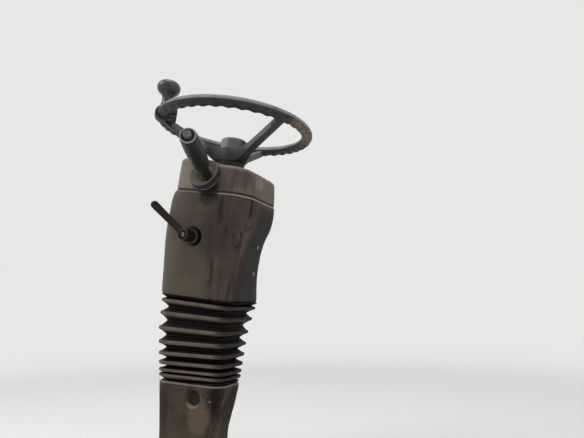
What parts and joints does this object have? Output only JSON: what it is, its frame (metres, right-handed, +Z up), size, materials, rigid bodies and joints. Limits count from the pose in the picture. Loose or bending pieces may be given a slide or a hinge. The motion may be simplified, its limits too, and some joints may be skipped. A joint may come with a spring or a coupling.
{
  "type": "steering column with steering wheel, from an excavator's cab",
  "caption": "Tilting steering column on a floor foot, with pleated rubber bellows, moulded housing, steering wheel with spinner knob, switch stalk and tilt lever.",
  "frame": {"origin": "middle of the base plate's underside, where it bolts to the cab floor", "axes": "+Z up, +Y towards the front of the vehicle, +X towards its right side"},
  "size_m": [0.4592, 0.3853, 0.9129],
  "materials": {
    "primed_steel": "dark primer, scuffed and rusty at its edges",
    "bright_steel": "turned steel, dull",
    "foot_moulding": "dusty, scratched grey-brown moulding",
    "housing_moulding": "grained warm grey moulding, dirty",
    "bellows_rubber": "black rubber, dusty on the crests",
    "black_plastic": "satin black, worn at its edges",
    "wheel_skin": "satin black, worn through in places",
    "knob_black": "satin black"
  },
  "bodies": {
    "base": {"base_plate": "primed_steel", "post": "primed_steel", "pivot_pins": "bright_steel", "foot_cover": "foot_moulding", "bellows": "bellows_rubber"},
    "output": {"lower_shaft": "bright_steel"},
    "column": {"column_jacket": "bright_steel", "main_housing": "housing_moulding", "top_cover": "housing_moulding", "switch_socket": "black_plastic"},
    "stalk": {"stalk_rod": "black_plastic", "stalk_grip": "black_plastic", "stalk_button": "black_plastic"},
    "lever": {"lever_hub": "black_plastic", "lever_grip": "black_plastic"},
    "wheel": {"steering_shaft": "bright_steel", "wheel_rim": "wheel_skin", "wheel_spider": "wheel_skin", "hub_cap": "wheel_skin", "knob_clamp": "knob_black", "knob_stud": "bright_steel"},
    "knob": {"spinner_knob": "knob_black"}
  },
  "joints": [
    {"name": "tilt", "type": "hinge", "parent": "base", "child": "column", "pos_m": [0, -0.036, 0.3286], "axis": [1, 0, 0], "range_deg": [-8, 14], "deforming": ["bellows"]},
    {"name": "wheel_turn", "type": "hinge", "parent": "column", "child": "wheel", "pos_m": [0, -0.1056, 0.81161], "axis": [0, -0.1426, 0.9898], "continuous": true},
    {"name": "output_turn", "type": "hinge", "parent": "base", "child": "output", "pos_m": [0, -0.036, 0.1], "axis": [0, 0, 1], "continuous": true},
    {"name": "knob_spin", "type": "hinge", "parent": "wheel", "child": "knob", "pos_m": [-0.11679, 0.01836, 0.82947], "axis": [0, -0.1426, 0.9898], "continuous": true},
    {"name": "stalk_swing", "type": "hinge", "parent": "column", "child": "stalk", "pos_m": [-0.08404, -0.08072, 0.67263], "axis": [0.342, -0.134, 0.9301], "range_deg": [-9, 9]},
    {"name": "lever_turn", "type": "hinge", "parent": "column", "child": "lever", "pos_m": [-0.1, -0.04686, 0.53718], "axis": [1, 0, 0], "range_deg": [0, 32]}
  ],
  "couplings": [
    {"joint": "output_turn", "follows": "wheel_turn", "ratio": 1}
  ]
}
